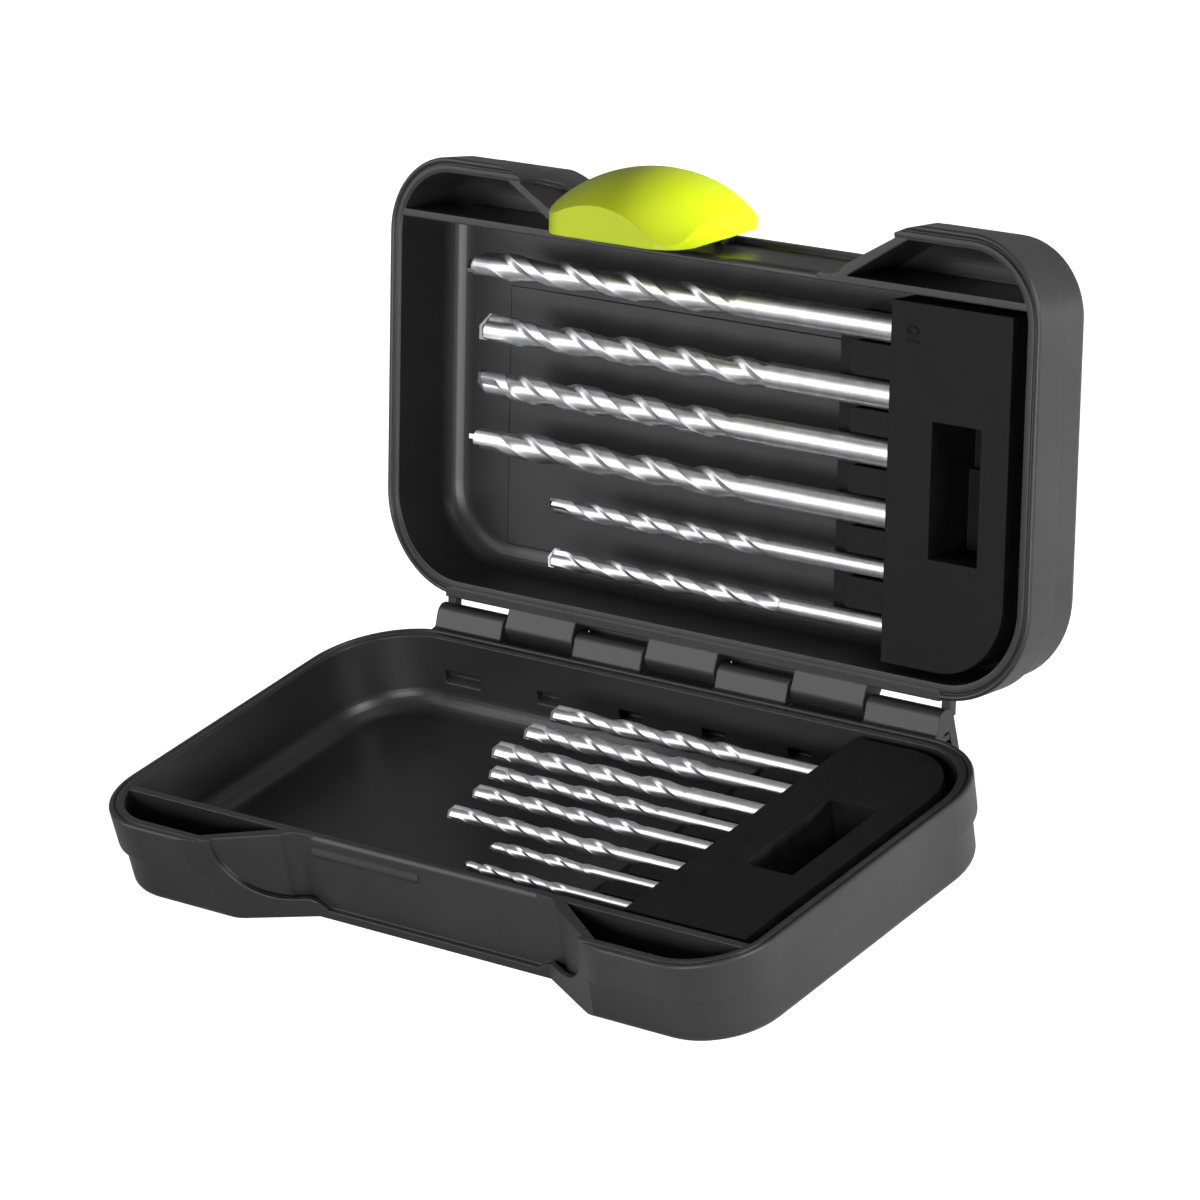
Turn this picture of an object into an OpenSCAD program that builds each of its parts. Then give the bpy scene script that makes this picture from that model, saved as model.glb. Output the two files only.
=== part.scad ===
/* [Case halves] */
// Length of the case along the hinge
case_l = 205; // [190:1:230]
// Depth of the case from the latch side to the hinge side
case_w = 112; // [104:1:124]
// Height of each half, from its outer floor to the rim plane
half_h = 22; // [20:0.5:28]
// Outer corner radius on the latch side
front_r = 20.5; // [18:0.5:24]
// Outer corner radius on the hinge side
rear_r = 25; // [22:0.5:30]
// Thickness of the floor
floor_t = 2.2; // [1.6:0.1:3]
// Width of the rim
rim_w = 3.8; // [3.4:0.1:4.2]
// Width of the rounded lip along the outside of the rim
lip_w = 1.4; // [1:0.1:1.7]
// Gap left between the two rims when the case is shut
rim_gap = 0.3; // [0.2:0.05:0.5]
// Height of the waist step above the outer floor
waist_z = 11.6; // [9:0.2:14]
// How far the lower body stands in from the upper skin at the waist
waist_in = 1.4; // [0.8:0.1:1.8]
// Radius of the outer bottom edge
foot_r = 2.6; // [1.6:0.2:5]
// Radius of the fillet between the tray's wall and its floor
tray_fillet = 6; // [4:0.5:8]
// Inward lean of the tray's wall, from the rim down to the fillet
tray_draft = 1.2; // [0.6:0.1:1.6]

/* [Latch notch] */
// Half the width of the notch at the front lip
notch_lip = 59; // [54:0.5:62]
// How far the notch's slanted walls stand back behind the skin, measured along the case
flank_set = 7; // [6:0.5:8]
// Half the width of the notch at its back wall
notch_back = 41; // [37:0.5:44]
// Distance from the front of the case to the notch's back wall
notch_d = 14.5; // [13:0.5:17]
// Thickness of the rib that runs from side to side behind the notch
rib_t = 1.9; // [1.6:0.1:2.6]
// Thickness of the notch's slanted walls, measured along the case
flank_t = 4; // [3:0.5:5]
// Radius of the notch's two inner corners
notch_r = 5; // [3:0.5:6]
// Half the width of the recessed skin's straight middle
skin_mid = 37; // [34:0.5:40]
// Distance from the front of the case to the skin's straight middle
skin_d = 13; // [12:0.5:13.2]
// Thickness of the recessed skin
skin_t = 1.3; // [1:0.1:1.6]
// Radius of the sweep that brings the front lip down into the notch
lip_sweep = 17; // [14:0.5:17.5]
// Radius of the rolled top edge of the notch's back wall
roll_r = 1.6; // [0.8:0.1:1.6]

/* [Hinge] */
// Number of knuckles, shared out in turn between the two halves
knuckles = 7; // [5:2:9]
// Length of one knuckle with its gap
knuckle_pitch = 23.2; // [18:0.2:24]
// Gap between two knuckles
knuckle_gap = 1; // [0.6:0.1:1.6]
// Place of the middle of the hinge along the case
hinge_x = -2.2; // [-6:0.2:6]
// Outside radius of the knuckles
barrel_r = 2.85; // [2.6:0.05:3]
// Distance from the rear of the case to the hinge axis
axis_out = 5.2; // [5.2:0.1:6]
// Height of the hinge axis above the rim plane
axis_up = 1.5; // [1:0.1:2]
// Radius of the hinge pin
pin_r = 1.2; // [0.9:0.05:1.4]
// Running clearance between the pin and the lid's knuckles, on the radius
pin_run = 0.06; // [0.03:0.01:0.1]
// Wall left over the right-hand end of the hinge pin
pin_cover = 1.4; // [1:0.1:2]
// How far the lid opens from shut, in degrees
open_angle = 106.8; // [95:0.2:115]
// Height of the flange that stiffens the lid's rear edge
flange_h = 8; // [6:0.5:10]
// Thickness of that flange
flange_t = 0.4; // [0.3:0.1:0.5]
// Clearance between the turning knuckles and the shelf and bridge beside them
hinge_gap = 0.5; // [0.4:0.05:0.7]
// Thickness of the shelf under the knuckles
shelf_t = 1.4; // [1:0.1:2]

/* [Bit holders] */
// Distance from the right end of the case to the base block
base_block_gap = 7.5; // [7:0.5:10]
// Distance from the right end of the case to the lid block
lid_block_gap = 8.5; // [7:0.5:10]
// Length of a block along the bits
block_l = 35.5; // [34:0.5:36.5]
// Gap between the rib and a block
block_front_gap = 2; // [1.5:0.1:3]
// Gap between the rear of the case and a block
block_rear_gap = 6; // [5.5:0.1:8]
// How far a block stops short of the rim plane
block_drop = 1; // [0.8:0.1:2]
// Height of the narrower foot that keeps a block off the tray's fillet
block_foot_h = 6.6; // [6:0.2:9]
// How far the foot stands in from the block's sides
block_foot_in = 5; // [4.6:0.1:6]
// Depth of the sockets that hold the bits
socket_d = 11; // [8:0.5:12]
// Clearance between a shank and its socket, on the radius
socket_run = 0.08; // [0.05:0.01:0.12]
// Length of the window in a block, along the bits
window_l = 14.5; // [10:0.5:16]
// Distance from a block's left face to its window
window_in = 13; // [12.6:0.2:15]
// Width of the window, across the bits
window_w = 33; // [24:1:40]
// Front edge of the window, from the front of the case
window_y = 46; // [40:1:50]
// Floor of the window above the tray's floor
window_floor = 3.5; // [2:0.5:8]
// Height of the step in the window's floor
window_step = 3; // [1:0.5:6]
// Length of the cradle in front of a block
cradle_l = 21.5; // [16:0.5:26]
// Distance from the cradle's left end to its pads
pad_in = 6.7; // [2:0.1:10]
// Gap between the pads and the block
pad_end = 0.9; // [0.6:0.1:2]
// Clearance between a shank and the cradle pads beside it
pad_gap = 0.9; // [0.6:0.1:1.2]
// How far the pads rise above the bits' axes
pad_rise = 0.8; // [0:0.1:1.2]
// Corner radius of the pads
pad_r = 1.5; // [0.8:0.1:1.6]

/* [Base bits] */
// Depth of the base bits' axes below the rim plane
base_axis_down = 4.5; // [4:0.1:6]
// Places of the base bits from the front of the case
base_y = [24, 33.8, 43, 53.4, 62.5, 72, 82.7, 92.9];
// Overall lengths of the base bits
base_len = [65.5, 66, 87.9, 88.9, 91.5, 98.8, 97.5, 97.5];
// Diameters across their flutes
base_d = [2.5, 2.5, 3.2, 3.1, 3.3, 4.4, 3.9, 3.8];
// Lengths of their plain shanks outside the block
base_shank = [17, 14, 13, 14, 15, 21, 22, 21];

/* [Lid bits] */
// Distance of the lid bits' axes above the rim plane, with the lid shut
lid_axis_up = 5.5; // [5:0.1:7]
// Places of the lid bits from the front of the case
lid_y = [26.4, 42.6, 56.6, 71.3, 84.8, 98.4];
// Overall lengths of the lid bits
lid_len = [149, 145.2, 145.6, 147.3, 120.6, 120.9];
// Diameters across their flutes
lid_d = [6.4, 6.4, 6.4, 6.4, 4.2, 4.2];
// Lengths of their plain shanks outside the block
lid_shank = [39, 30, 40, 36, 31, 26];

/* [Bit form] */
// Lead of the flutes of the thinnest bits
lead_base = 19; // [16:0.5:24]
// Growth of the lead for each millimetre of diameter
lead_rise = 3; // [2:0.1:4]
// Angle that each land takes up round the bit, in degrees
land_angle = 40; // [30:1:50]
// Core radius as a share of the flutes' radius
core_ratio = 0.5; // [0.4:0.02:0.6]
// Shank radius as a share of the flutes' radius
shank_ratio = 0.96; // [0.9:0.01:1]
// Width of the hard tip over the flutes' diameter
tip_over = 0.3; // [0.1:0.05:0.5]
// Thickness of the hard tip as a share of the diameter
tip_thick = 0.3; // [0.2:0.02:0.35]
// Length of the hard tip as a share of the diameter
tip_len = 1; // [0.8:0.05:1.4]
// Point angle of the hard tip, in degrees
tip_angle = 130; // [115:1:140]

/* [Latch] */
// Width of the latch along the case
latch_w = 42.4; // [34:0.2:43]
// Place of the latch's middle along the case
latch_x = -19.2; // [-19.6:0.2:17]
// How far the latch reaches past the rim plane onto the base
latch_down = 14; // [12:0.5:15]
// How far the latch stops short of the lid's outer floor
latch_short = 0.4; // [0.2:0.1:2]
// Radius of the latch's crown
crown_r = 36; // [34:0.5:44]
// Height of the crown in front of the notch's back wall
crown_h = 18; // [16:0.5:19]
// How far the crown's top lies past the latch's middle, towards the lid
crown_past = 4.2; // [0:0.2:5]
// How far the crown's top lies to the left of the latch's middle
crown_left = 2.4; // [0:0.2:3]
// Wall thickness of the latch
latch_t = 1.8; // [1.4:0.1:2.4]
// Corner radius at the latch's free end
latch_r = 7.5; // [4:0.5:9]
// Corner radius at the latch's far end
latch_far_r = 3; // [2.4:0.1:4]
// Distance from the lid's outer floor to the latch's axis
latch_axis_in = 3.4; // [3.2:0.1:4]
// Distance of the latch's axis in front of the notch's back wall
latch_axis_out = 4.7; // [4.5:0.1:5]
// Radius of the latch pin
latch_pin_r = 1; // [0.8:0.05:1.2]
// Thickness of each latch ear on the lid
ear_t = 3; // [2:0.1:3.4]
// Distance between the middles of the two ears
ear_span = 24; // [16:1:28]
// Height of the catch ridge on the base's notch wall
catch_h = 0.5; // [0.4:0.05:0.7]
// Distance of the catch ridge below the rim plane
catch_down = 5.2; // [4.6:0.2:6]
// Clearance between the hook and the ridge, before the latch is pressed home
catch_gap = 0.2; // [0.15:0.05:0.3]

/* [Hidden] */
eps = 0.01;
mid = half_h - rim_gap / 2;
axis_y = case_w / 2 + axis_out;
axis_z = half_h + axis_up;
front = -case_w / 2;
rear = case_w / 2;
shell_col = [0.16, 0.16, 0.17];
block_col = [0.05, 0.05, 0.055];
latch_col = [0.72, 0.82, 0.08];
steel_col = [0.78, 0.78, 0.80];
tip_col = [0.45, 0.46, 0.48];
core_in = 16;
land_drop = 0.3;
panel_h = 0.4;
panel_left = 24.5;
panel_front = 34;
panel_gap = 0.5;
port_x = [-71, -42, -14.7, 12.1, 39.2];
port_l = [12, 7.2, 7.2, 7.2, 7.2];
port_down = 11.7;
port_depth = 5.2;
brace_in = 3;
strut_neck = 8;
flange_in = 1.5;
flute_steps = [0, 0.08, 0.2, 0.38, 0.6, 0.84];
groove_d = 0.6;
groove_w = 0.5;
lip_r = 0.7;
skirt_lean = 0.9;
stop_gap = 0.05;
hook_step = 1.1;
latch_lean = 4.2;
strut_t = 2.6;
ear_side = 0.4;
ear_r = latch_pin_r + 1.3;
latch_up = half_h - latch_short;
latch_y = front + notch_d - latch_axis_out;
latch_z = 2 * half_h - latch_axis_in;
knuckle_l = knuckle_pitch - knuckle_gap;
hinge_l = knuckles * knuckle_pitch - knuckle_gap;
base_block_x = case_l / 2 - base_block_gap - block_l;
lid_block_x = case_l / 2 - lid_block_gap - block_l;
base_axis_h = half_h - base_axis_down;
lid_axis_h = half_h - lid_axis_up;
base_n = len(base_y);
lid_n = len(lid_y);
base_names = [for (i = [0:base_n - 1]) str("base_bit_", i + 1)];
lid_names = [for (i = [0:lid_n - 1]) str("lid_bit_", i + 1)];

// points along an arc, from angle a0 to a1
function arc(cx, cy, r, a0, a1, n) =
  [for (i = [0:n]) [cx + r * cos(a0 + (a1 - a0) * i / n), cy + r * sin(a0 + (a1 - a0) * i / n)]];

// outer skin and rim of one half: [distance in from the outermost face, height]
function skin_profile() = concat(
  [[core_in, 0]],
  arc(waist_in + skirt_lean + foot_r, foot_r, foot_r, 270, 180, 9),
  [[waist_in + 0.5, waist_z - 0.9]],
  arc(waist_in - 0.3, waist_z - 0.9, 0.8, 0, 90, 4),
  arc(waist_in - 0.3, waist_z + 0.6, 0.6, 270, 180, 4),
  arc(lip_r, mid - lip_r, lip_r, 180, 90, 5),
  arc(lip_w - lip_r, mid - lip_r, lip_r, 90, 0, 5),
  [[lip_w, mid - groove_d], [lip_w + groove_w, mid - groove_d], [lip_w + groove_w, mid - 0.1],
   [rim_w - 0.6, mid - 0.1], [rim_w - 0.6, mid - land_drop], [core_in, mid - land_drop]]);

// hollow of one tray, with its drafted wall and floor fillet
function tray_profile() = let (x = rim_w + tray_draft + tray_fillet) concat(
  [[core_in, floor_t]],
  arc(x, floor_t + tray_fillet, tray_fillet, 270, 180, 9),
  [[rim_w, mid - land_drop - eps], [rim_w, half_h + 1], [core_in, half_h + 1]]);

// a profile carried round the case: four turned corners, four straight sides and a filled middle
module carried(profile, z0, z1) {
  lx = case_l / 2;
  ly = case_w / 2;
  for (c = [[1, 1, rear_r, 0], [-1, 1, rear_r, 90], [-1, -1, front_r, 180], [1, -1, front_r, 270]])
    translate([c[0] * (lx - c[2]), c[1] * (ly - c[2]), 0])
      rotate([0, 0, c[3]])
        rotate_extrude(angle = 90, $fn = 96)
          polygon([for (p = profile) [c[2] - p[0], p[1]]]);
  side = [for (p = profile) [-p[0], p[1]]];
  for (s = [-1, 1])
    translate([s * lx, s > 0 ? -ly + front_r : ly - rear_r, 0])
      rotate([90, 0, s > 0 ? 0 : 180])
        mirror([0, 0, 1])
          linear_extrude(case_w - front_r - rear_r)
            polygon(side);
  translate([rear_r - lx, ly, 0])
    rotate([90, 0, 90])
      linear_extrude(case_l - 2 * rear_r)
        polygon(side);
  translate([lx - front_r, -ly, 0])
    rotate([90, 0, 270])
      linear_extrude(case_l - 2 * front_r)
        polygon(side);
  translate([core_in - 1 - lx, core_in - 1 - ly, z0])
    cube([case_l - 2 * core_in + 2, case_w - 2 * core_in + 2, z1 - z0]);
}

// plan of the notch in front of the tray walls, half of it: corners rounded by arcs
function notch_half() = let (
    lip = notch_lip + flank_set,
    dx = lip - notch_back,
    a = atan(dx / notch_d),
    t = notch_r * tan((90 - a) / 2),
    cx = notch_back - t)
  concat([[lip + dx / notch_d, -1]], arc(cx, notch_d - notch_r, notch_r, 90 - a, 90, 12));

function both_sides(h) = concat(h, [for (i = [len(h) - 1:-1:0]) [-h[i][0], h[i][1]]]);

// plan of what the recessed skin leaves free, half of it: the front face turns in along an arc
function skin_half(back) = let (
    run = notch_lip - 1 - skin_mid,
    rise = skin_d - 3,
    a = atan(rise / run),
    x0 = notch_lip - 1 + 3 / tan(a),
    r = 20,
    t = r * tan(a / 2))
  concat([[x0 + t, -1]], arc(x0 + t, r, r, 270, 270 - a, 12),
    [[skin_mid - back * tan(a / 2), skin_d + back]]);

// the notch through one half, with its recessed skin left standing
module notch_cut() {
  translate([0, front, 0]) {
    translate([0, 0, -1])
      linear_extrude(half_h + 2)
        polygon(both_sides(skin_half(0)));
    difference() {
      translate([0, 0, floor_t])
        linear_extrude(half_h)
          polygon(both_sides(notch_half()));
      for (s = [0, 1])
        mirror([s, 0, 0])
          skin_web();
    }
  }
}

// one side of the recessed skin: a thin slanted wall under the lip's sweep
module skin_web() {
  difference() {
    linear_extrude(half_h + 1)
      polygon([[notch_lip + 12, -2], [notch_lip + 12, skin_t], [notch_lip - 1, 3 + skin_t * 1.1],
        [skin_mid, skin_d + skin_t * 1.1], [skin_mid - 3, skin_d + skin_t * 1.1],
        [skin_mid - 3, skin_d - 2], [notch_lip - 6, -2]]);
    translate([notch_lip - lip_sweep, -3, mid])
      rotate([-90, 0, 0])
        cylinder(r = lip_sweep, h = 30, $fn = 96);
    translate([0, -3, mid - lip_sweep])
      cube([notch_lip - lip_sweep, 30, half_h]);
    translate([notch_lip - lip_sweep - 10, -3, mid])
      cube([lip_sweep + 10, 30, 5]);
    rotate([90, 0, 0])
      mirror([0, 0, 1])
        linear_extrude(30)
          polygon([[skin_mid - 4, floor_t], [skin_mid + 2, mid - lip_sweep + eps],
            [skin_mid - 4, mid - lip_sweep + eps]]);
  }
}

// one half of the case, standing on its outer floor, without hinge or latch details
module half_shell() {
  difference() {
    carried(skin_profile(), 0, mid - land_drop);
    difference() {
      carried(tray_profile(), floor_t, half_h + 1);
      translate([-case_l / 2, front + notch_d, 0])
        cube([case_l, rib_t, half_h]);
      translate([0, front, 0])
        linear_extrude(half_h)
          polygon(both_sides([[notch_lip + flank_t + 2.4, 0], [notch_lip + flank_t, rim_w],
            [notch_back + flank_t, notch_d + eps]]));
    }
    notch_cut();
    rolled_edge();
  }
}

// rounding of the top front edge of the notch's back wall
module rolled_edge() {
  top = mid - land_drop;
  span = 2 * (notch_back - notch_r);
  translate([-span / 2, front + notch_d, top])
    difference() {
      translate([0, -1, -roll_r])
        cube([span, 1 + roll_r, roll_r + 1]);
      translate([-1, roll_r, -roll_r])
        rotate([0, 90, 0])
          cylinder(r = roll_r, h = span + 2, $fn = 48);
    }
}

// start and length of one knuckle along the case
function knuckle_x(i) = hinge_x + (i - knuckles / 2) * knuckle_pitch + knuckle_gap / 2;

module knuckle_bar(i, profile) {
  translate([knuckle_x(i), 0, 0])
    rotate([90, 0, 90])
      linear_extrude(knuckle_l)
        polygon(profile);
}

module barrel(i) {
  translate([knuckle_x(i), axis_y, axis_z])
    rotate([0, 90, 0])
      cylinder(r = barrel_r, h = knuckle_l, $fn = 64);
}

module pin_bore(extra) {
  translate([knuckle_x(0) - 1, axis_y, axis_z])
    rotate([0, 90, 0])
      cylinder(r = pin_r + extra, h = hinge_l - pin_cover + 1, $fn = 64);
}

// the base's hinge leaf: a ramp from the rim up to the barrel, which it meets along a tangent
module base_leaf(i) {
  foot = [axis_y - barrel_r - 1.45, half_h - 0.3];
  dy = axis_y - foot[0];
  dz = axis_z - foot[1];
  a = 180 + atan(dz / dy) - acos(barrel_r / sqrt(dy * dy + dz * dz));
  barrel(i);
  knuckle_bar(i, [[rear - 1.2, half_h - 5.5], [rear - 1.2, half_h - 0.6], foot,
    [axis_y + barrel_r * cos(a), axis_z + barrel_r * sin(a)], [axis_y - 0.6, axis_z],
    [axis_y - 0.9, axis_z - barrel_r + 0.3], [rear + 1.2, half_h - 2.6]]);
}

// strut behind an end knuckle: it reaches the ground, so that the open lid can't tip the case back,
// and carries the stop that the open lid's flange rests on
module strut(x) {
  translate([x, 0, 0]) {
    rotate([90, 0, 90])
      linear_extrude(strut_t)
        polygon([[axis_y, axis_z], [axis_y + barrel_r, axis_z], [axis_y + barrel_r, 0],
          [rear - waist_in - foot_r - skirt_lean, 0], [rear - brace_in, foot_r - 1],
          [rear - brace_in, half_h - strut_neck - brace_in], [axis_y + 0.6, half_h - strut_neck]]);
    translate([0, axis_y, axis_z])
      rotate([-open_angle, 0, 0])
        translate([0, flange_t - axis_out + stop_gap, 1.2])
          cube([strut_t, axis_out - flange_t - 1, 2.2]);
  }
}

// shelf that closes the gap under the knuckles
module shelf() {
  top = axis_z - barrel_r - hinge_gap;
  translate([knuckle_x(0), rear - brace_in, top - shelf_t])
    cube([hinge_l, brace_in + axis_out, shelf_t]);
}

// shallow ports in the rear wall, one pair of sides sloped so that they catch light
module rear_ports() {
  for (i = [0:len(port_x) - 1])
    translate([port_x[i] - port_l[i] / 2, rear - port_depth, half_h - port_down])
      rotate([90, 0, 90])
        linear_extrude(port_l[i])
          polygon([[0, -1.2], [2.6, 0.3], [2.6, 2.5], [0, 2.5]]);
}

// ridge under which the latch's hook clips, with the shallow hollow beneath it
module catch_ridge() {
  translate([latch_x - latch_w / 2 + 4, front + notch_d, half_h - catch_down])
    rotate([90, 0, 90])
      linear_extrude(latch_w - 8)
        polygon([[0.2, 1.6], [0, 1.6], [-catch_h, 0.2], [-catch_h, -0.2], [0, -1], [0.2, -1]]);
}

module base_shell() {
  color(shell_col)
  difference() {
    union() {
      half_shell();
      catch_ridge();
      shelf();
      for (i = [0:2:knuckles - 1])
        base_leaf(i);
      strut(knuckle_x(0));
      strut(knuckle_x(knuckles - 1) + knuckle_l - strut_t);
    }
    pin_bore(0);
    rear_ports();
  }
}

// a copy of what stands in the shut lid's frame, swung open about the hinge
module in_lid() {
  translate([0, axis_y, axis_z])
    rotate([-open_angle, 0, 0])
      translate([0, -axis_y, -axis_z])
        children();
}

// shut lid frame: the half turned over onto the rim plane
module turned_over() {
  translate([0, 0, 2 * half_h])
    mirror([0, 0, 1])
      children();
}

module lid_flange() {
  translate([knuckle_x(0) + flange_in, rear - 2, 2 * half_h - mid])
    cube([hinge_l - 2 * flange_in, 2 + flange_t, flange_h]);
}

// the lid's arms, from the flange to the barrel
module lid_arm(i) {
  barrel(i);
  y0 = rear - 1;
  z0 = 2 * half_h - mid;
  knuckle_bar(i, [[y0, z0], [rear + flange_t, z0], [axis_y - 1, axis_z - barrel_r + 0.2],
    [axis_y, axis_z], [axis_y - 0.2, axis_z + barrel_r],
    [rear + flange_t, z0 + flange_h - 1.2], [y0, z0 + flange_h - 1.2]]);
}

// bridge between the lid's arms, behind the base's inner knuckles
module lid_bridge(i) {
  y0 = rear + flange_t;
  z0 = barrel_r + hinge_gap;
  translate([knuckle_gap / -2 - eps, 0, 0])
    knuckle_bar(i, [[y0 - 1, axis_z + z0 + 0.3], [axis_y - 1.6, axis_z + z0], [axis_y - 0.2, axis_z + z0],
      [axis_y - 0.2, axis_z + z0 + 1.1], [y0, axis_z + z0 + 2.6], [y0 - 1, axis_z + z0 + 2.6]]);
}

// the two ears that carry the latch pin
module latch_ears() {
  for (s = [-1, 1])
    translate([latch_x + s * ear_span / 2 - ear_t / 2, 0, 0]) {
      translate([0, latch_y, latch_z])
        rotate([0, 90, 0])
          cylinder(r = ear_r, h = ear_t, $fn = 48);
      rotate([90, 0, 90])
        linear_extrude(ear_t)
          polygon([[latch_y, latch_z - ear_r], [latch_y, latch_z + ear_r],
            [front + notch_d + 0.5, latch_z + ear_r + 1], [front + notch_d + 0.5, latch_z - ear_r - 1]]);
    }
}

module latch_bore(extra, len) {
  translate([latch_x - len / 2, latch_y, latch_z])
    rotate([0, 90, 0])
      cylinder(r = latch_pin_r + extra, h = len, $fn = 48);
}

module lid_shell() {
  color(shell_col)
  in_lid()
    difference() {
      union() {
        turned_over()
          half_shell();
        lid_flange();
        for (i = [1:2:knuckles - 2])
          lid_arm(i);
        for (i = [2:2:knuckles - 3])
          lid_bridge(i);
        lid_panel();
        latch_ears();
      }
      pin_bore(pin_run);
      latch_bore(0, latch_w);
    }
}

// low raised panel on the lid's inner floor, under the bits, up to the cradle
module lid_panel() {
  x0 = -case_l / 2 + panel_left;
  turned_over()
    translate([x0, front + panel_front, floor_t - 1])
      cube([lid_block_x - cradle_l - panel_gap - x0, case_w - panel_front - rim_w - tray_draft - tray_fillet, 1 + panel_h]);
}

module hinge_pin() {
  color(steel_col)
  translate([knuckle_x(0), axis_y, axis_z])
    rotate([0, 90, 0])
      cylinder(r = pin_r, h = hinge_l - pin_cover, $fn = 64);
}

module latch_pin() {
  color(steel_col)
  in_lid()
    latch_bore(0, ear_span + ear_t);
}

// a holder seen in its own half: block, foot, sockets, window and cradle
module holder(x0, ys, ds, axis_h) {
  top = half_h - block_drop;
  y0 = front + notch_d + rib_t + block_front_gap;
  y1 = rear - block_rear_gap;
  x1 = x0 + block_l;
  r = rear_r - block_rear_gap;
  difference() {
    union() {
      block_body(x0, x1, y0, y1, r, floor_t + block_foot_h, top);
      block_body(x0, x1 - block_foot_in, y0, y1 - block_foot_in, r - block_foot_in, floor_t, top - 1);
      cradle(x0, ys, ds, axis_h);
    }
    for (i = [0:len(ys) - 1])
      translate([x0 - 1, front + ys[i], axis_h])
        rotate([0, 90, 0])
          cylinder(r = shank_r(ds[i]) + socket_run, h = socket_d + 1.3, $fn = 48);
    translate([x0 + window_in, front + window_y, floor_t + window_floor])
      cube([window_l, window_w, half_h]);
    translate([x0 + window_in, front + window_y, floor_t + window_floor - window_step + 1])
      cube([window_l, window_w * 0.4, half_h]);
  }
}

module block_body(x0, x1, y0, y1, r, z0, z1) {
  translate([0, 0, z0])
    linear_extrude(z1 - z0)
      polygon(concat([[x0, y0], [x1, y0]], arc(x1 - r, y1 - r, r, 0, 90, 14), [[x0, y1]]));
}

// pads between the shanks, standing on a common tongue
module cradle(x0, ys, ds, axis_h) {
  n = len(ys);
  r_max = max([for (d = ds) shank_r(d)]);
  xa = x0 - cradle_l;
  translate([xa, front + ys[0] - 1, floor_t])
    cube([cradle_l + 1, ys[n - 1] - ys[0] + 2, axis_h - r_max - pad_gap - floor_t]);
  for (i = [0:n - 2])
    translate([0, 0, floor_t])
      linear_extrude(axis_h + pad_rise - floor_t)
        pad(xa + pad_in, x0 - pad_end, front + ys[i] + shank_r(ds[i]) + pad_gap,
          front + ys[i + 1] - shank_r(ds[i + 1]) - pad_gap);
}

// plan of one pad: a rectangle with round corners
module pad(xa, xb, ya, yb) {
  r = min(pad_r, (yb - ya) / 2 - eps);
  polygon(concat(arc(xb - r, yb - r, r, 0, 90, 3), arc(xa + r, yb - r, r, 90, 180, 3),
    arc(xa + r, ya + r, r, 180, 270, 3), arc(xb - r, ya + r, r, 270, 360, 3)));
}

function shank_r(d) = shank_ratio * d / 2;

module base_holder() {
  color(block_col)
  holder(base_block_x, base_y, base_d, base_axis_h);
}

module lid_holder() {
  color(block_col)
  in_lid()
    turned_over()
      holder(lid_block_x, lid_y, lid_d, lid_axis_h);
}

// section through the flutes: two lands and two hollows
function flute_r(u) = core_ratio + (1 - core_ratio) * pow(abs(2 * u - 1), 1.7);
function fluted(r) = [for (side = [0, 180]) each concat(
  [for (a = [land_angle, land_angle / 2]) r * [cos(side + a), sin(side + a)]],
  [for (u = flute_steps) let (a = side - u * (180 - land_angle)) r * flute_r(u) * [cos(a), sin(a)]])];

// a bit along +Z, its shank end at the origin; d across the flutes, plain for `plain`
module bit(d, len, plain) {
  r = d / 2;
  lead = lead_base + lead_rise * d;
  body = len - tip_len * d * 0.35;
  fl = body - plain;
  difference() {
    union() {
      cylinder(r = shank_r(d), h = plain + 0.3, $fn = 48);
      translate([0, 0, plain])
        linear_extrude(fl, twist = -360 * fl / lead, slices = ceil(fl / lead * 12))
          polygon(fluted(r));
      translate([0, 0, plain + 0.1])
        cylinder(r1 = shank_r(d), r2 = r * core_ratio * 0.9, h = d * 1.6, $fn = 48);
    }
    tip_slot(d, len);
  }
}

module tip_slot(d, len) {
  w = tip_thick * d;
  translate([-d, -w / 2, len - tip_len * d])
    cube([2 * d, w, 2 * tip_len * d]);
}

// the hard plate brazed into the end of a bit
module hard_tip(d, len) {
  w = tip_thick * d;
  h = (d + tip_over) / 2;
  drop = h / tan(tip_angle / 2);
  translate([0, w / 2, len - tip_len * d])
    rotate([90, 0, 0])
      linear_extrude(w)
        polygon([[-h, 0], [h, 0], [h, tip_len * d - drop], [0, tip_len * d], [-h, tip_len * d - drop]]);
}

module base_place(i) {
  translate([base_block_x + socket_d, front + base_y[i], base_axis_h])
    rotate([0, -90, 0])
      children();
}

module lid_place(i) {
  in_lid()
    translate([lid_block_x + socket_d, front + lid_y[i], half_h + lid_axis_up])
      rotate([0, -90, 0])
        children();
}

module base_bit(i) {
  color(steel_col)
  base_place(i)
    bit(base_d[i], base_len[i], base_shank[i] + socket_d);
}

module base_tip(i) {
  color(tip_col)
  base_place(i)
    hard_tip(base_d[i], base_len[i]);
}

module lid_bit(i) {
  color(steel_col)
  lid_place(i)
    bit(lid_d[i], lid_len[i], lid_shank[i] + socket_d);
}

module lid_tip(i) {
  color(tip_col)
  lid_place(i)
    hard_tip(lid_d[i], lid_len[i]);
}

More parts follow.
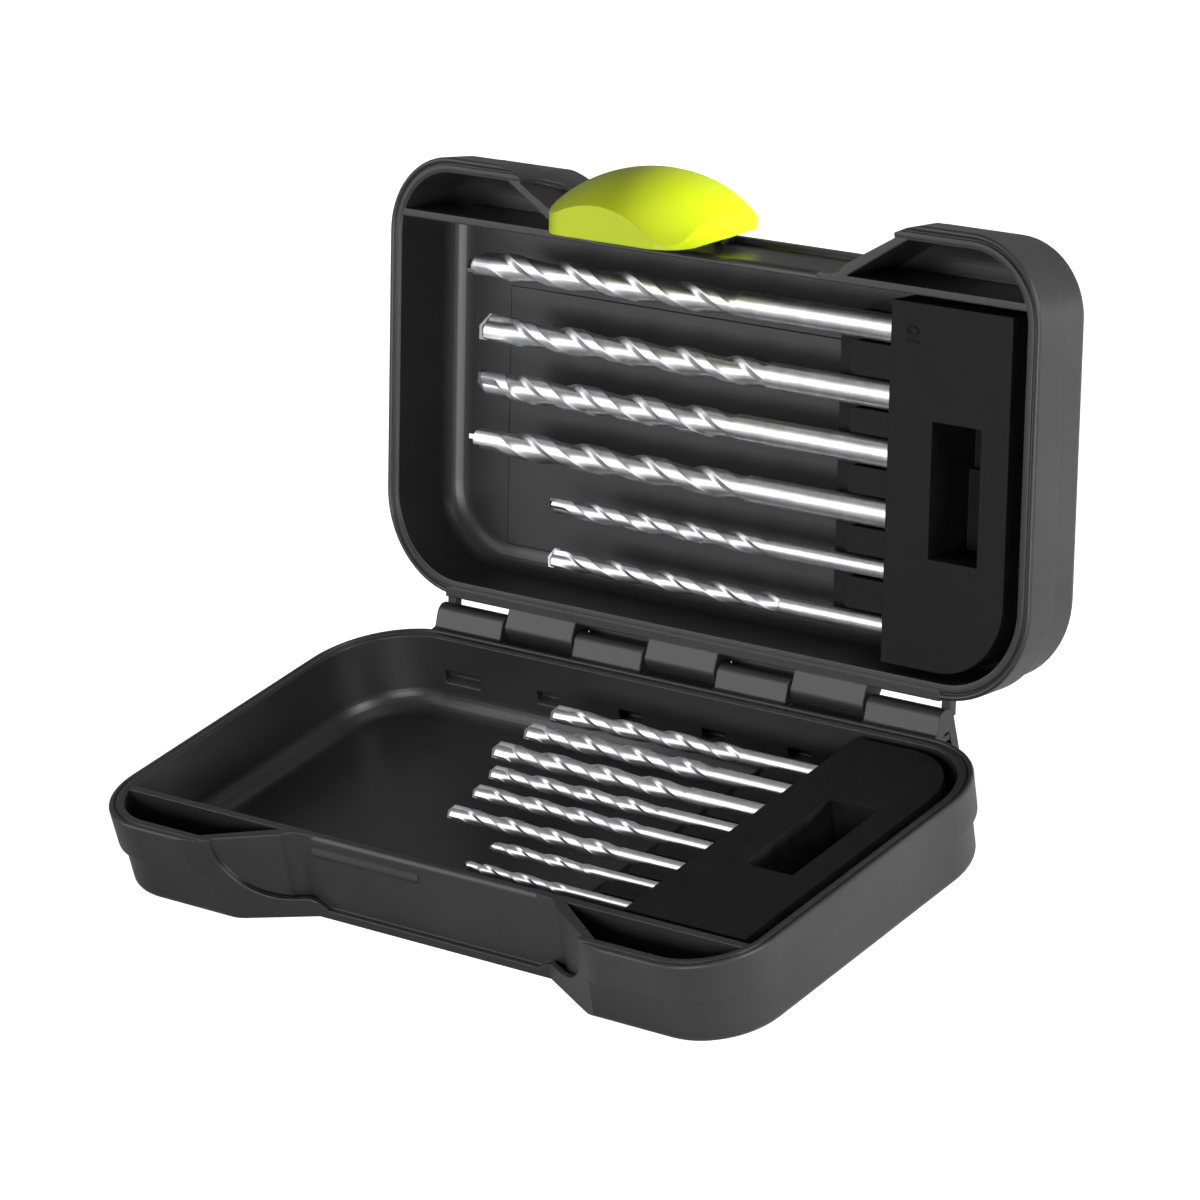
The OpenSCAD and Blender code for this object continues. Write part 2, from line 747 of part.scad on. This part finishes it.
// outside of the latch: a rounded plate crowned by a sphere, in the shut lid's frame
module latch_form(shrink) {
  w = latch_w / 2 - shrink;
  z0 = half_h - latch_down + shrink;
  z1 = half_h + latch_up - shrink;
  r = latch_r - shrink;
  q = latch_far_r - shrink;
  crown_z = half_h + (latch_up - latch_down) / 2 + crown_past;
  intersection() {
    translate([latch_x, front + notch_d - 2, 0])
      rotate([90, 0, 0])
        linear_extrude(crown_h + 2)
          polygon(concat(arc(-w + r, z0 + r, r, 180, 270, 12), arc(w - r, z0 + r, r, 270, 360, 12),
            arc(w - q, z1 - q, q, 0, 90, 6), arc(-w + q, z1 - q, q, 90, 180, 6)));
    translate([latch_x - crown_left, front + notch_d - crown_h + crown_r, crown_z])
      sphere(r = crown_r - shrink, $fn = 128);
    latch_back();
  }
}

// side view of the latch: its back leans away from the lid and ends in the hook
module latch_back() {
  y = front + notch_d;
  hook_y = y - catch_h - catch_gap;
  hook_z = half_h - catch_down - 1 - catch_gap;
  top = half_h + latch_up;
  translate([latch_x - latch_w, 0, 0])
    rotate([90, 0, 90])
      linear_extrude(2 * latch_w)
        polygon([[y - 30, half_h - 30], [hook_y - 0.8, half_h - 30], [hook_y, half_h - latch_down + 3],
          [hook_y, hook_z], [hook_y - hook_step, hook_z], [y - latch_lean, top - 2.6],
          [y - latch_lean - 2.2, top + 1], [y - 30, top + 1]]);
}

// the latch's own barrel between the ears, webbed to the crown
module latch_barrel() {
  len = ear_span - ear_t - 2 * ear_side;
  translate([latch_x - len / 2, latch_y, latch_z])
    rotate([0, 90, 0])
      cylinder(r = ear_r, h = len, $fn = 48);
  intersection() {
    translate([latch_x - len / 2, latch_y - crown_h, latch_z - ear_r])
      cube([len, crown_h, 2 * ear_r]);
    latch_form(eps);
  }
}
module latch() {
  color(latch_col)
  in_lid() {
    difference() {
      union() {
        difference() {
          latch_form(0);
          difference() {
            latch_form(latch_t);
            translate([latch_x - latch_w, front, half_h - latch_down])
              cube([2 * latch_w, notch_d, latch_down - catch_down - 1 - catch_gap]);
          }
        }
        latch_barrel();
      }
      for (s = [-1, 1])
        translate([latch_x + (s * ear_span - ear_t) / 2 - ear_side, latch_y - ear_r - ear_side, latch_z - 8])
          cube([ear_t + 2 * ear_side, notch_d, 16]);
      latch_bore(pin_run, ear_span);
    }
  }
}

base_shell();
hinge_pin();
base_holder();
lid_shell();
lid_holder();
latch_pin();
latch();
for (i = [0:base_n - 1]) {
  base_bit(i);
  base_tip(i);
}
for (i = [0:lid_n - 1]) {
  lid_bit(i);
  lid_tip(i);
}
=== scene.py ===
"""Looks of an opened drill bit case: camera, light, materials and finely turned bits.

Lengths are metres in the part's own frame; sizes named in millimetres are multiplied by MM.
"""

import math
from collections import namedtuple

import bpy
from mathutils import Matrix, Vector


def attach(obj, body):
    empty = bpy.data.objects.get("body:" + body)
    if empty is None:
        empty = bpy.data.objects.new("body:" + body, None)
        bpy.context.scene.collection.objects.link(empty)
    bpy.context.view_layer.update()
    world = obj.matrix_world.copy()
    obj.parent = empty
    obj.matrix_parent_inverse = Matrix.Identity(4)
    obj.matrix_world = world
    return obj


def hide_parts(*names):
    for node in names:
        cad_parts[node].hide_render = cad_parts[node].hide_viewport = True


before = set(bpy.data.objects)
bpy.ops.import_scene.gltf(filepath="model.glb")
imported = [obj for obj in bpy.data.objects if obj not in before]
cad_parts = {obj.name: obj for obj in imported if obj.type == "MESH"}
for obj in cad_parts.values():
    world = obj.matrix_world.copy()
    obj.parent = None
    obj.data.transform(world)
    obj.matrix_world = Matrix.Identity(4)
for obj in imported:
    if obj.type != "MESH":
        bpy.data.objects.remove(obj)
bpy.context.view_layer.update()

MM = 0.001


# ---------------------------------------------------------------- sizes, in millimetres and degrees


# the case, as built; the hinge axis lies behind the case and above the rim plane
CASE_W = 112
HALF_H = 22
AXIS_OUT = 5.2
AXIS_UP = 1.5
AXIS_Y = CASE_W / 2 + AXIS_OUT
AXIS_Z = HALF_H + AXIS_UP
OPEN_ANGLE = 106.8

# the holders: their left faces, the sockets' depth, the bits' axes and the gap to the rim plane
BASE_BLOCK_X = 59.5
LID_BLOCK_X = 58.5
SOCKET_DEPTH = 11
BASE_SOCKET_X = BASE_BLOCK_X + SOCKET_DEPTH
LID_SOCKET_X = LID_BLOCK_X + SOCKET_DEPTH
BASE_AXIS_DOWN = 4.5
LID_AXIS_UP = 5.5
BASE_AXIS_H = HALF_H - BASE_AXIS_DOWN
LID_AXIS_H = HALF_H + LID_AXIS_UP
BLOCK_DROP = 1

# y: place across the case, from its front
# tip_x, flutes_x: where the tip is and where the flutes end
# flute_d, shank_d: diameters over the flutes and of the shank
# lead: length of one full turn of the flutes
# land_x: a place where a land faces the viewer
# land: a land's width round the bit, in degrees
# plate: angle from the viewer's direction to the width of the hard plate
Bit = namedtuple("Bit", "y tip_x flute_d shank_d flutes_x lead land_x land plate")
BASE_BITS = [
    Bit(24.0, 5.0, 2.7, 2.45, 37.0, 23.0, 18.1, 60, -30),
    Bit(33.8, 4.5, 2.9, 2.45, 37.0, 24.0, 19.4, 60, 20),
    Bit(43.0, -17.4, 3.75, 3.1, 37.5, 27.2, 10.1, 60, 62),
    Bit(53.4, -18.4, 3.75, 3.05, 36.5, 27.2, 9.4, 60, 62),
    Bit(62.5, -21.0, 3.75, 3.2, 34.5, 27.4, 3.9, 60, 62),
    Bit(72.0, -28.3, 4.75, 4.2, 35.0, 32.0, 0.8, 60, 62),
    Bit(82.7, -27.0, 4.65, 3.8, 34.5, 31.6, 1.6, 60, 62),
    Bit(92.9, -27.0, 4.35, 3.7, 34.5, 31.6, 6.3, 60, 62),
]
LID_BITS = [
    Bit(26.4, -79.5, 6.96, 6.57, 9.5, 40.4, -36.5, 48, 45),
    Bit(42.6, -75.7, 6.96, 6.57, 19.0, 36.2, -35.7, 48, 75),
    Bit(56.6, -76.1, 6.96, 6.57, 9.5, 38.4, -31.2, 62, -45),
    Bit(71.3, -77.8, 6.96, 6.57, 13.0, 39.2, -28.1, 64, 0),
    Bit(84.8, -51.1, 4.82, 4.31, 21.0, 31.2, -11.5, 70, -30),
    Bit(98.4, -51.4, 4.82, 4.31, 25.0, 33.5, -19.4, 66, 80),
]
# direction of the viewer round a bit's own axis
BASE_FACING = -56.8
LID_FACING = -163.6

# the fluted section: the core's share of the outer radius along the body and at the head, and
# the steep side's share of a flute, with the power of the shallow side's curve
CORE_RATIO = 0.72
HEAD_CORE_RATIO = 0.6
STEEP_SHARE = 0.28
SHALLOW_POWER = 0.6

# the steel body, in bit diameters: how far it stops short of the point, its end's bevel, the
# flutes' run-out, the spacing of its rings, and where the head's turn starts and how long it takes
BODY_SHORT = 0.3
END_BEVEL = 0.16
RUN_OUT = 1.3
RING_STEP = 0.075
HEAD_START = 2.2
HEAD_EASE = 1.2

# in millimetres: the shank end's bevel, and how far below the flutes the last plain ring lies
SHANK_BEVEL = 0.3
PLAIN_MARGIN = 0.5
POINTS_AROUND = 96

# the hard plate: thickness and length in bit diameters, what it adds to the diameter in
# millimetres, the point's angle, and how far each half of the point falls away across the
# plate, as a share of half its thickness
PLATE_THICK = 0.17
PLATE_LEN = 0.62
PLATE_OVER = 0.12
POINT_ANGLE = 130
PLATE_RELIEF = 0.35

# edges sharper than this aren't smoothed
BODY_SHARP = 34
PLATE_SHARP = 20

# the raised numeral on the lid's block, and its distance from the block's left face
NUMERAL_SIZE = 5.2
NUMERAL_EXTRUDE = 0.35
NUMERAL_IN = 6.5


# ---------------------------------------------------------------- materials


class Shade:
    """A node material with the few nodes used here."""

    def __init__(self, name):
        self.mat = bpy.data.materials.new(name)
        self.mat.use_nodes = True
        self.tree = self.mat.node_tree
        self.bsdf = self.tree.nodes["Principled BSDF"]
        self.coords = self.tree.nodes.new("ShaderNodeTexCoord")

    def set(self, **values):
        for key, value in values.items():
            self.bsdf.inputs[key.replace("_", " ")].default_value = value
        return self

    def node(self, kind, **props):
        made = self.tree.nodes.new(kind)
        for key, value in props.items():
            setattr(made, key, value)
        return made

    def link(self, a, b):
        self.tree.links.new(a, b)

    def noise(self, scale, detail=4.0, rough=0.6, stretch=(1, 1, 1)):
        mapping = self.node("ShaderNodeMapping")
        mapping.inputs["Scale"].default_value = stretch
        self.link(self.coords.outputs["Object"], mapping.inputs["Vector"])
        tex = self.node("ShaderNodeTexNoise")
        tex.inputs["Scale"].default_value = scale
        tex.inputs["Detail"].default_value = detail
        tex.inputs["Roughness"].default_value = rough
        self.link(mapping.outputs["Vector"], tex.inputs["Vector"])
        return tex.outputs["Fac"]

    def spread(self, fac, low, high, start=0.3, end=0.7):
        """fac between start and end becomes low to high."""
        out = self.node("ShaderNodeMapRange")
        out.inputs["From Min"].default_value = start
        out.inputs["From Max"].default_value = end
        out.inputs["To Min"].default_value = low
        out.inputs["To Max"].default_value = high
        self.link(fac, out.inputs["Value"])
        return out.outputs["Result"]

    def colour(self, fac, low, high):
        """Base colour that goes from low to high with fac."""
        share = self.spread(fac, 0, 1)
        out = self.node("ShaderNodeMix", data_type="RGBA")
        out.inputs["A"].default_value = (*low, 1)
        out.inputs["B"].default_value = (*high, 1)
        self.link(share, out.inputs["Factor"])
        self.link(out.outputs["Result"], self.bsdf.inputs["Base Color"])

    def roughness(self, fac, low, high):
        """Roughness that goes from low to high with fac."""
        self.link(self.spread(fac, low, high), self.bsdf.inputs["Roughness"])

    def soften(self, radius):
        """Lets sharp moulded edges catch the light as small rounds do; radius in metres."""
        out = self.node("ShaderNodeBevel", samples=6)
        out.inputs["Radius"].default_value = radius
        self.link(out.outputs["Normal"], self.bsdf.inputs["Normal"])
        return self

    def bump(self, height, strength, distance):
        """Adds relief to what the normal has so far; distance in metres."""
        out = self.node("ShaderNodeBump")
        out.inputs["Strength"].default_value = strength
        out.inputs["Distance"].default_value = distance
        self.link(height, out.inputs["Height"])
        last = self.bsdf.inputs["Normal"]
        if last.is_linked:
            self.link(last.links[0].from_socket, out.inputs["Normal"])
        self.link(out.outputs["Normal"], last)
        return self


def shell_material():
    """Moulded charcoal plastic: fine grain, faint flow clouds."""
    m = Shade("shell_plastic").set(Specular_IOR_Level=0.4).soften(0.0006)
    clouds = m.noise(18, detail=3)
    grain = m.noise(2600, detail=2)
    m.colour(clouds, (0.016, 0.016, 0.0165), (0.026, 0.026, 0.027))
    m.roughness(clouds, 0.35, 0.38)
    return m.bump(grain, 0.12, 0.00006).mat


def holder_material():
    """Near-black soft block with mottled bloom."""
    m = Shade("holder_rubber").set(Specular_IOR_Level=0.15).soften(0.0004)
    bloom = m.noise(160, detail=5, rough=0.7)
    grain = m.noise(1500, detail=3)
    m.colour(bloom, (0.003, 0.003, 0.003), (0.007, 0.007, 0.007))
    m.roughness(bloom, 0.5, 0.72)
    return m.bump(bloom, 0.15, 0.0002).bump(grain, 0.2, 0.0001).mat


def latch_material():
    """Lime satin plastic."""
    m = Shade("latch_plastic").set(Specular_IOR_Level=0.25).soften(0.0006)
    clouds = m.noise(30, detail=2)
    grain = m.noise(2200, detail=2)
    m.colour(clouds, (0.49, 0.60, 0.006), (0.53, 0.64, 0.010))
    m.roughness(clouds, 0.38, 0.46)
    return m.bump(grain, 0.06, 0.00005).mat


def steel_material():
    """Ground steel, its marks drawn out along the bit."""
    m = Shade("ground_steel").set(Metallic=1.0)
    marks = m.noise(900, detail=5, rough=0.7, stretch=(0.06, 1, 1))
    stain = m.noise(220, detail=3)
    m.colour(stain, (0.50, 0.50, 0.51), (0.66, 0.66, 0.67))
    m.roughness(marks, 0.31, 0.44)
    return m.bump(marks, 0.25, 0.00008).mat


def tip_material():
    """Sintered hard metal, darker and finely pitted."""
    m = Shade("hard_metal").set(Metallic=1.0)
    pits = m.noise(2500, detail=4)
    m.colour(pits, (0.30, 0.30, 0.32), (0.46, 0.46, 0.48))
    m.roughness(pits, 0.28, 0.42)
    return m.bump(pits, 0.2, 0.00005).mat


def pin_material():
    """Drawn wire."""
    m = Shade("drawn_wire").set(Metallic=1.0)
    marks = m.noise(1200, detail=3, stretch=(0.05, 1, 1))
    m.colour(marks, (0.45, 0.45, 0.46), (0.6, 0.6, 0.61))
    m.roughness(marks, 0.25, 0.4)
    return m.mat


SHELL = shell_material()
HOLDER = holder_material()
LATCH = latch_material()
STEEL = steel_material()
HARD = tip_material()
WIRE = pin_material()

NODE_MATERIAL = {
    "base_shell": SHELL,
    "lid_shell": SHELL,
    "base_holder": HOLDER,
    "lid_holder": HOLDER,
    "latch": LATCH,
    "hinge_pin": WIRE,
    "latch_pin": WIRE,
}


def dress_nodes():
    """Gives every CAD node its material."""
    for name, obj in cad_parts.items():
        look = NODE_MATERIAL.get(name, HARD if "tip" in name else STEEL)
        if not obj.data.materials:
            obj.data.materials.append(look)
        for slot in obj.material_slots:
            slot.material = look


# ---------------------------------------------------------------- bits


def flute_share(angle, land, core):
    """Radius of the fluted section as a share of its outer radius.

    The angle is in degrees, and the two lands are centred at 0 and 180.
    """
    span = 180 - land
    along = (-angle - land / 2) % 180
    if along >= span:
        return 1.0
    u = along / span
    if u < STEEP_SHARE:
        dip = math.sin(math.pi / 2 * u / STEEP_SHARE)
    else:
        dip = ((1 - u) / (1 - STEEP_SHARE)) ** SHALLOW_POWER
    return 1 - (1 - core) * dip


def smooth_step(t):
    t = min(1.0, max(0.0, t))
    return t * t * (3 - 2 * t)


def new_piece(name, verts, faces, material, sharp):
    """A smooth mesh from points in millimetres, with its sharp edges kept."""
    mesh = bpy.data.meshes.new(name)
    mesh.from_pydata([tuple(c * MM for c in v) for v in verts], [], faces)
    mesh.validate()
    for p in mesh.polygons:
        p.use_smooth = True
    mesh.set_sharp_from_angle(angle=math.radians(sharp))
    mesh.materials.append(material)
    return mesh


def bit_mesh(name, d, shank, length, plain, turn_at, land, plate_turn):
    """A twist bit along +Z from its shank end, in millimetres, and its hard plate's direction.

    The flutes start at the height plain, and turn_at gives the lands' direction at a height.
    Near the head that direction eases into the plate's, by the shorter way round.
    """
    r = d / 2
    body = length - BODY_SHORT * d
    run_out = RUN_OUT * d
    bevel = END_BEVEL * d
    steps = int((body - plain) / (d * RING_STEP))
    heights = [0, SHANK_BEVEL, plain - PLAIN_MARGIN]
    heights += [plain + (body - plain) * i / steps for i in range(steps + 1)]
    around = POINTS_AROUND
    natural = turn_at(length - d)
    wanted = natural + (plate_turn - natural + 90) % 180 - 90
    verts, faces = [], []
    for z in heights:
        easing = smooth_step((z - (length - HEAD_START * d)) / (HEAD_EASE * d))
        turn = turn_at(min(max(z, plain), length - d)) * (1 - easing) + wanted * easing
        core = CORE_RATIO + (HEAD_CORE_RATIO - CORE_RATIO) * easing
        t = min(1.0, max(0.0, (z - plain) / run_out))
        depth = math.sqrt(max(0.0, 1 - (1 - t) ** 2))
        base_r = shank / 2 + (r - shank / 2) * smooth_step((z - plain) / run_out)
        taper = 1 - max(0.0, bevel - (body - z)) / r
        if z == 0:
            taper = 1 - SHANK_BEVEL / base_r
        for j in range(around):
            a = 360 * j / around
            rr = base_r * (1 - depth * (1 - flute_share(a, land, core))) * taper
            b = math.radians(a + turn)
            verts.append((rr * math.cos(b), rr * math.sin(b), z))
    rings = len(heights)
    for k in range(rings - 1):
        low, high = k * around, (k + 1) * around
        for j in range(around):
            n = (j + 1) % around
            faces.append((low + j, low + n, high + n, high + j))
    faces.append(tuple(reversed(range(around))))
    faces.append(tuple((rings - 1) * around + j for j in range(around)))
    return new_piece(name, verts, faces, STEEL, BODY_SHARP), wanted


def tip_mesh(name, d, length, turn):
    """The hard plate across the bit's end: a thin slab with a roof-shaped point.

    Each half of the point falls away across the slab, one towards either face.
    """
    half = (d + PLATE_OVER) / 2
    w = PLATE_THICK * d / 2
    foot = length - PLATE_LEN * d
    shoulder = length - half / math.tan(math.radians(POINT_ANGLE / 2))
    relief = PLATE_RELIEF * w
    outline = [(-half, foot), (half, foot), (half, shoulder), (0, length), (-half, shoulder)]
    verts = []
    for side in (-1, 1):
        for x, z in outline:
            back = relief if z > foot and x * side < 0 else 0
            verts.append((x, side * w, z - back))
    faces = [(4, 3, 2, 1, 0), (5, 6, 7, 8, 9)]
    faces += [(i, (i + 1) % 5, (i + 1) % 5 + 5, i + 5) for i in range(5)]
    c, s = math.cos(math.radians(turn)), math.sin(math.radians(turn))
    verts = [(x * c - y * s, x * s + y * c, z) for x, y, z in verts]
    return new_piece(name, verts, faces, HARD, PLATE_SHARP)


# a bit's own +Z runs towards -X, from its socket to its tip
ALONG_CASE = Matrix(((0, 0, -1, 0), (0, 1, 0, 0), (1, 0, 0, 0), (0, 0, 0, 1)))


def lid_swing():
    """Carries the shut lid's frame to the opened one."""
    axis = Vector((0, AXIS_Y * MM, AXIS_Z * MM))
    turn = Matrix.Rotation(math.radians(-OPEN_ANGLE), 4, "X")
    return Matrix.Translation(axis) @ turn @ Matrix.Translation(-axis)


def place_piece(mesh, where, body, node):
    """Puts a mesh in the place of a CAD node, on the node's body."""
    mesh.transform(where)
    obj = bpy.data.objects.new(mesh.name, mesh)
    bpy.context.scene.collection.objects.link(obj)
    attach(obj, body)
    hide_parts(node)


def make_bits(rows, label, socket_x, axis_h, facing, swing):
    for i, bit in enumerate(rows, 1):
        seat = Matrix.Translation(Vector((socket_x, bit.y - CASE_W / 2, axis_h)) * MM)
        where = swing @ seat @ ALONG_CASE
        length = socket_x - bit.tip_x
        plain = socket_x - bit.flutes_x

        def turn_at(z, lead=bit.lead, land_z=socket_x - bit.land_x):
            return facing + 360 * (z - land_z) / lead

        node = f"{label}_bit_{i}"
        body = f"{label}_drill_{i}"
        mesh, turn = bit_mesh(
            node + "_turned",
            bit.flute_d,
            bit.shank_d,
            length,
            plain,
            turn_at,
            bit.land,
            facing - bit.plate,
        )
        place_piece(mesh, where, body, node)
        node = f"{label}_tip_{i}"
        mesh = tip_mesh(node + "_ground", bit.flute_d, length, turn)
        place_piece(mesh, where, body, node)


# ---------------------------------------------------------------- numerals


def make_numerals():
    """Raised size numeral on the lid's block, beside its first bit."""
    curve = bpy.data.curves.new("size_numeral", "FONT")
    curve.body = "10"
    curve.size = NUMERAL_SIZE * MM
    curve.extrude = NUMERAL_EXTRUDE * MM
    curve.align_x = "CENTER"
    curve.align_y = "CENTER"
    curve.materials.append(HOLDER)
    obj = bpy.data.objects.new("size_numeral", curve)
    bpy.context.scene.collection.objects.link(obj)
    place = (LID_BLOCK_X + NUMERAL_IN, LID_BITS[0].y - CASE_W / 2, HALF_H + BLOCK_DROP)
    seat = Matrix.Translation(Vector(place) * MM)
    upright = Matrix(((0, -1, 0, 0), (-1, 0, 0, 0), (0, 0, -1, 0), (0, 0, 0, 1)))
    obj.matrix_world = lid_swing() @ seat @ upright
    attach(obj, "lid")


# ---------------------------------------------------------------- stage, in metres and degrees


# strength of the world as a light and in mirrors; the camera sees it at 1
WORLD_FILL = 0.1
WORLD_IN_GLOSS = 0.3
FLOOR_HALF = 6.0
FLOOR_GLOW = 0.85

# name, place, width and height, watts, lights matt surfaces, shows in glossy ones
LIGHT_TARGET = Vector((0, 0.03, 0.06))
SOFTBOXES = [
    ("metal_box", (-0.98, -0.88, 0.66), (1.2, 1.0), 12, False, True),
    ("front_box", (0.35, -1.0, 0.3), (0.7, 0.3), 10, True, True),
    ("right_box", (1.15, 0.6, 0.12), (0.5, 0.2), 44, True, False),
    ("edge_box", (1.15, 0.05, 0.7), (0.5, 0.5), 12, False, True),
    ("top_box", (0.1, 0.4, 1.25), (0.9, 0.6), 2, True, True),
]

# camera: where the photograph was taken from; lens and sensor in millimetres
CAM_AZIMUTH = -44.67
CAM_ELEVATION = 24.99
CAM_ROLL = -10.82
CAM_DISTANCE = 1.290
CAM_TARGET = Vector((0.0141, 0.0193, 0.0644))
CAM_LENS = 163.86
CAM_SENSOR = 36


def make_world():
    """White for the camera, grey in mirrors and dim as a light."""
    world = bpy.data.worlds.new("studio")
    bpy.context.scene.world = world
    world.use_nodes = True
    tree = world.node_tree
    path = tree.nodes.new("ShaderNodeLightPath")
    level = WORLD_FILL
    for ray, strength in (("Is Glossy Ray", WORLD_IN_GLOSS), ("Is Camera Ray", 1.0)):
        mix = tree.nodes.new("ShaderNodeMapRange")
        if isinstance(level, float):
            mix.inputs["To Min"].default_value = level
        else:
            tree.links.new(level, mix.inputs["To Min"])
        mix.inputs["To Max"].default_value = strength
        tree.links.new(path.outputs[ray], mix.inputs["Value"])
        level = mix.outputs["Result"]
    tree.links.new(level, tree.nodes["Background"].inputs["Strength"])
    tree.nodes["Background"].inputs["Color"].default_value = (1, 1, 1, 1)


def make_floor():
    """Large pale floor, lit up for the camera alone: it keeps the object's soft shadow."""
    mesh = bpy.data.meshes.new("floor")
    s = FLOOR_HALF
    mesh.from_pydata([(-s, -s, 0), (s, -s, 0), (s, s, 0), (-s, s, 0)], [], [(0, 1, 2, 3)])
    m = Shade("floor_paper").set(Roughness=0.9, Specular_IOR_Level=0.1)
    fibre = m.noise(400, detail=3)
    m.colour(fibre, (0.90, 0.90, 0.90), (0.92, 0.92, 0.92))
    glow = m.node("ShaderNodeMapRange")
    glow.inputs["To Max"].default_value = FLOOR_GLOW
    m.link(m.node("ShaderNodeLightPath").outputs["Is Camera Ray"], glow.inputs["Value"])
    m.link(glow.outputs["Result"], m.bsdf.inputs["Emission Strength"])
    m.set(Emission_Color=(1, 1, 1, 1))
    mesh.materials.append(m.mat)
    obj = bpy.data.objects.new("floor", mesh)
    bpy.context.scene.collection.objects.link(obj)


def softbox(name, place, size, power, diffuse, gloss):
    """A rectangular lamp that faces the case and that the camera doesn't see."""
    data = bpy.data.lights.new(name, "AREA")
    data.shape = "RECTANGLE"
    data.size, data.size_y = size
    data.energy = power
    obj = bpy.data.objects.new(name, data)
    obj.location = place
    obj.rotation_mode = "QUATERNION"
    obj.rotation_quaternion = (LIGHT_TARGET - Vector(place)).to_track_quat("-Z", "Y")
    obj.visible_camera = False
    obj.visible_diffuse = diffuse
    obj.visible_glossy = gloss
    bpy.context.scene.collection.objects.link(obj)


def make_lights():
    make_world()
    for box in SOFTBOXES:
        softbox(*box)


def make_camera():
    a, e, roll = (math.radians(v) for v in (CAM_AZIMUTH, CAM_ELEVATION, CAM_ROLL))
    forward = Vector((math.sin(a) * math.cos(e), math.cos(a) * math.cos(e), -math.sin(e)))
    level = Vector((math.cos(a), -math.sin(a), 0))
    up = level.cross(forward)
    right = level * math.cos(roll) + up * math.sin(roll)
    top = up * math.cos(roll) - level * math.sin(roll)
    turn = Matrix((right, top, -forward)).transposed().to_4x4()
    data = bpy.data.cameras.new("camera")
    data.lens = CAM_LENS
    data.sensor_width = CAM_SENSOR
    cam = bpy.data.objects.new("camera", data)
    cam.matrix_world = Matrix.Translation(CAM_TARGET - forward * CAM_DISTANCE) @ turn
    bpy.context.scene.collection.objects.link(cam)
    bpy.context.scene.camera = cam


make_camera()
make_lights()
make_floor()
bpy.context.scene.view_settings.view_transform = "Standard"
dress_nodes()
make_bits(BASE_BITS, "base", BASE_SOCKET_X, BASE_AXIS_H, BASE_FACING, Matrix.Identity(4))
make_bits(LID_BITS, "lid", LID_SOCKET_X, LID_AXIS_H, LID_FACING, lid_swing())
make_numerals()
